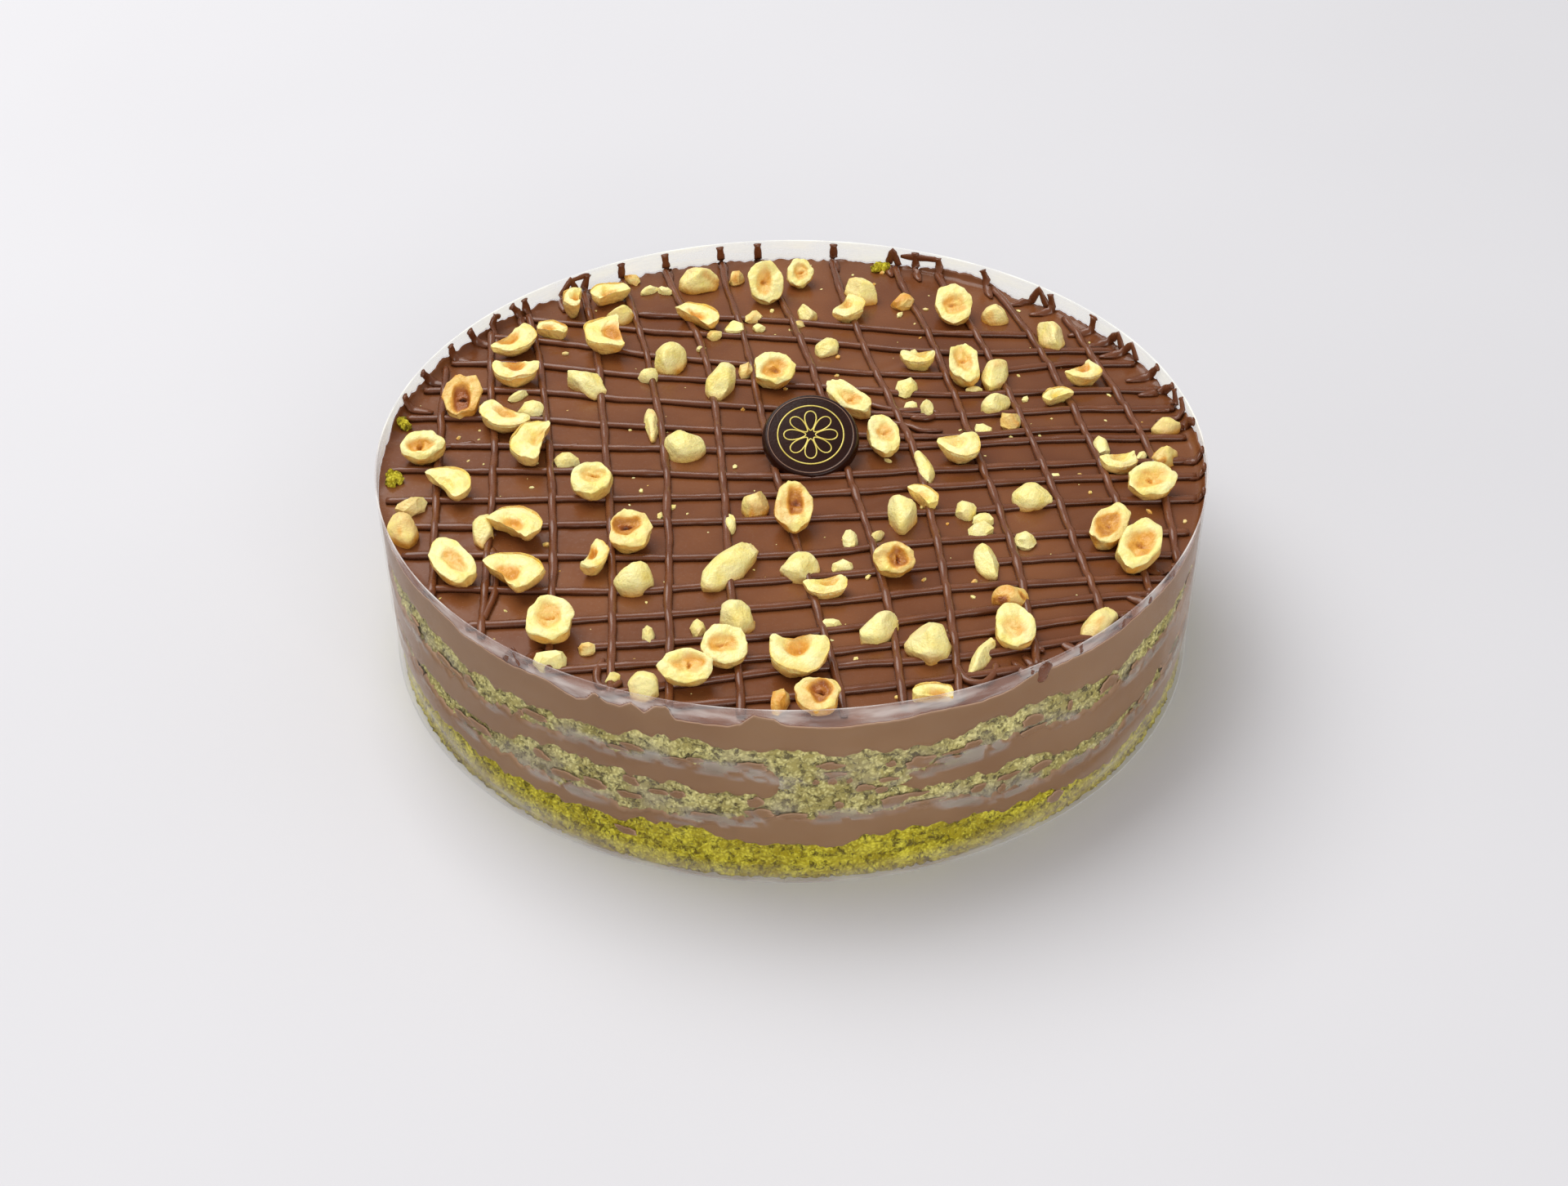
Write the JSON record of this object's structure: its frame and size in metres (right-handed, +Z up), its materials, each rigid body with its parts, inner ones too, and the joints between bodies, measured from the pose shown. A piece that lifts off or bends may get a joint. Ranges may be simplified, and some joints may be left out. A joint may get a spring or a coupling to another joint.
{
  "type": "layered cream cake",
  "caption": "Round pistachio sponge and chocolate cream cake in a clear collar, topped with a piped lattice, hazelnut pieces and a tilted chocolate medallion",
  "frame": {"origin": "middle of the flat underside of the cake and its collar", "axes": "+Z up through the cake; -Y is the side towards the viewer, +X to the viewer's right"},
  "size_m": [0.24, 0.24, 0.0678],
  "materials": {
    "sponge": "crumbly pistachio-green sponge with darker specks, matt",
    "cream": "soft light chocolate cream, smeared against the film",
    "cream_top": "chocolate cream spread flat with a piped chocolate lattice, soft shine",
    "chocolate": "smooth dark chocolate with a fine rim line, glossy",
    "film": "thin clear acetate film",
    "hazelnut": "split roasted hazelnut, pale yellow with tan hollows and a few toasted brown pieces"
  },
  "bodies": {
    "root": {"sponge_bottom": "sponge", "cream_low": "cream", "sponge_middle": "sponge", "cream_middle": "cream", "sponge_top": "sponge", "cream_top": "cream_top", "medallion": "chocolate", "collar": "film", "hazelnut_01": "hazelnut", "hazelnut_02": "hazelnut", "hazelnut_03": "hazelnut", "hazelnut_04": "hazelnut", "hazelnut_05": "hazelnut", "hazelnut_06": "hazelnut", "hazelnut_07": "hazelnut", "hazelnut_08": "hazelnut", "hazelnut_09": "hazelnut", "hazelnut_10": "hazelnut", "hazelnut_11": "hazelnut", "hazelnut_12": "hazelnut", "hazelnut_13": "hazelnut", "hazelnut_14": "hazelnut", "hazelnut_15": "hazelnut", "hazelnut_16": "hazelnut", "hazelnut_17": "hazelnut", "hazelnut_18": "hazelnut", "hazelnut_19": "hazelnut", "hazelnut_20": "hazelnut", "hazelnut_21": "hazelnut", "hazelnut_22": "hazelnut", "hazelnut_23": "hazelnut", "hazelnut_24": "hazelnut", "hazelnut_25": "hazelnut", "hazelnut_26": "hazelnut", "hazelnut_27": "hazelnut", "hazelnut_28": "hazelnut", "hazelnut_29": "hazelnut", "hazelnut_30": "hazelnut", "hazelnut_31": "hazelnut", "hazelnut_32": "hazelnut", "hazelnut_33": "hazelnut", "hazelnut_34": "hazelnut", "hazelnut_35": "hazelnut", "hazelnut_36": "hazelnut", "hazelnut_37": "hazelnut", "hazelnut_38": "hazelnut", "hazelnut_39": "hazelnut", "hazelnut_40": "hazelnut", "hazelnut_41": "hazelnut", "hazelnut_42": "hazelnut", "hazelnut_43": "hazelnut", "hazelnut_44": "hazelnut", "hazelnut_45": "hazelnut", "hazelnut_46": "hazelnut", "hazelnut_47": "hazelnut", "hazelnut_48": "hazelnut", "hazelnut_49": "hazelnut", "hazelnut_50": "hazelnut", "hazelnut_51": "hazelnut", "hazelnut_52": "hazelnut"}
  },
  "joints": []
}
